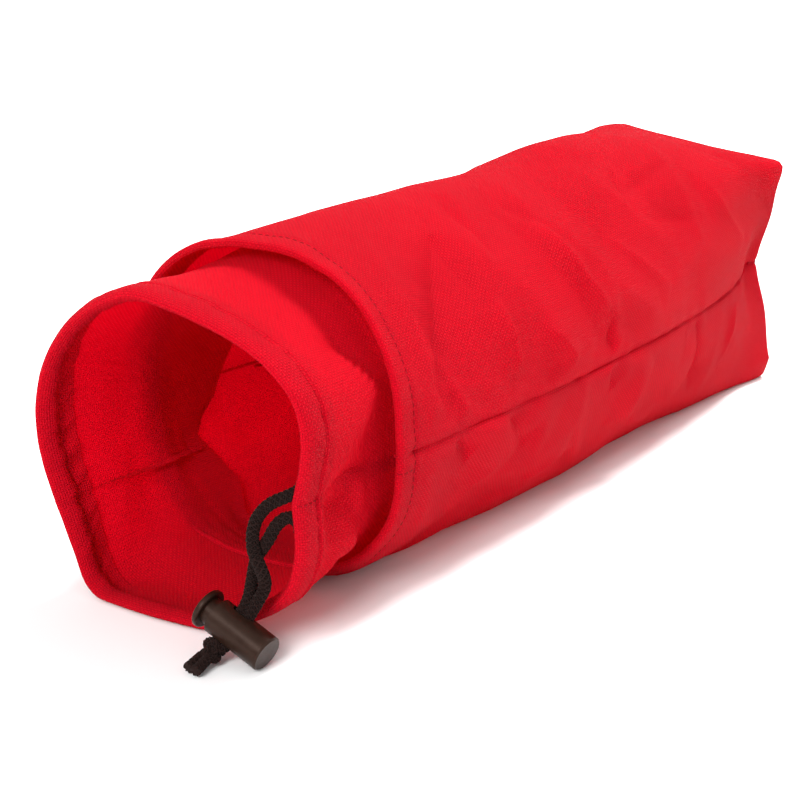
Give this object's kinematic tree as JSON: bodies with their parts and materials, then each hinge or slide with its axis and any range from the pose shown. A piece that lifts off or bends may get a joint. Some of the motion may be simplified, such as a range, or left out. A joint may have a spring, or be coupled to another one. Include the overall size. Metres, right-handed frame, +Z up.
{
  "type": "drawstring sack",
  "caption": "Soft red drawstring sack lying on its side, with a boxed closed end, an inner sleeve standing out of its collar, and a black drawcord with a spring cord lock.",
  "frame": {"origin": "under the middle of the sack, without its cord, on the surface it lies on", "axes": "+Z up, +Y along the sack from its mouth to its closed end, +X to the side that the cord comes out of"},
  "size_m": [0.124, 0.4288, 0.131],
  "materials": {
    "red_cloth": "woven polyester, satin",
    "red_thread": "polyester sewing thread",
    "black_cord": "braided polyester",
    "lock_plastic": "satin moulded plastic",
    "spring_steel": "bright wire"
  },
  "bodies": {
    "shell": {"upper_panel": "red_cloth", "lower_panel": "red_cloth", "side_seam_left": "red_cloth", "side_seam_right": "red_cloth", "end_seam": "red_cloth", "corner_seam_left": "red_cloth", "corner_seam_right": "red_cloth", "collar_stitching": "red_thread", "collar_tacks": "red_thread"},
    "sleeve": {"sleeve_upper": "red_cloth", "sleeve_lower": "red_cloth", "sleeve_seam_left": "red_cloth", "sleeve_seam_right": "red_cloth", "hem_stitching": "red_thread", "hem_tacks": "red_thread", "drawcord": "black_cord", "strand_upper": "black_cord", "strand_lower": "black_cord", "cord_knot": "black_cord", "tail_front": "black_cord", "tail_back": "black_cord"},
    "lock": {"lock_barrel": "lock_plastic", "lock_spring": "spring_steel"},
    "plunger": {"lock_plunger": "lock_plastic"}
  },
  "joints": [
    {"name": "sleeve_tuck", "type": "slide", "parent": "shell", "child": "sleeve", "axis": [0, 1, 0], "range_m": [0, 0.034]},
    {"name": "lock_slide", "type": "slide", "parent": "sleeve", "child": "lock", "axis": [0.344, 0.4384, 0.8304], "range_m": [0, 0.008]},
    {"name": "plunger_press", "type": "slide", "parent": "lock", "child": "plunger", "axis": [0.9239, 0, -0.3827], "range_m": [0, 0.0028], "stiffness_N_per_m": 900, "springref_m": -0.0015, "deforming": ["lock_spring"]}
  ]
}
